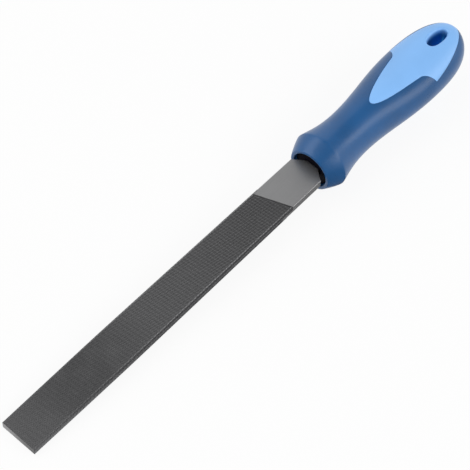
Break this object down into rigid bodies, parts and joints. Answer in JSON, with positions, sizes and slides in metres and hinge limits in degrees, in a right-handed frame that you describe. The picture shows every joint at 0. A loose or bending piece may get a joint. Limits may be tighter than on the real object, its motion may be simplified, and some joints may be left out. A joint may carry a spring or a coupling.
{
  "type": "flat file",
  "caption": "Flat hand file: a tapered steel blade with leaning rows of teeth, its tang set in a two-colour moulded handle with a soft grip and a hanging hole.",
  "frame": {"origin": "on the file's axis, at the middle of its overall length", "axes": "+X along the file from the tip to the handle's butt, +Z normal to the blade's upper flat face, +Y across the blade"},
  "size_m": [0.3138, 0.0334, 0.0312],
  "materials": {
    "blade_steel": "dark, uncoated hardened steel, satin on the plain heel",
    "black_plastic": "matt moulded black plastic",
    "light_blue_plastic": "smooth satin-gloss hard plastic",
    "dark_blue_rubber": "matt soft-touch thermoplastic rubber"
  },
  "bodies": {
    "root": {"file_blade": "blade_steel", "mouth_collar": "black_plastic", "handle_core": "light_blue_plastic", "soft_grip": "dark_blue_rubber"}
  },
  "joints": []
}
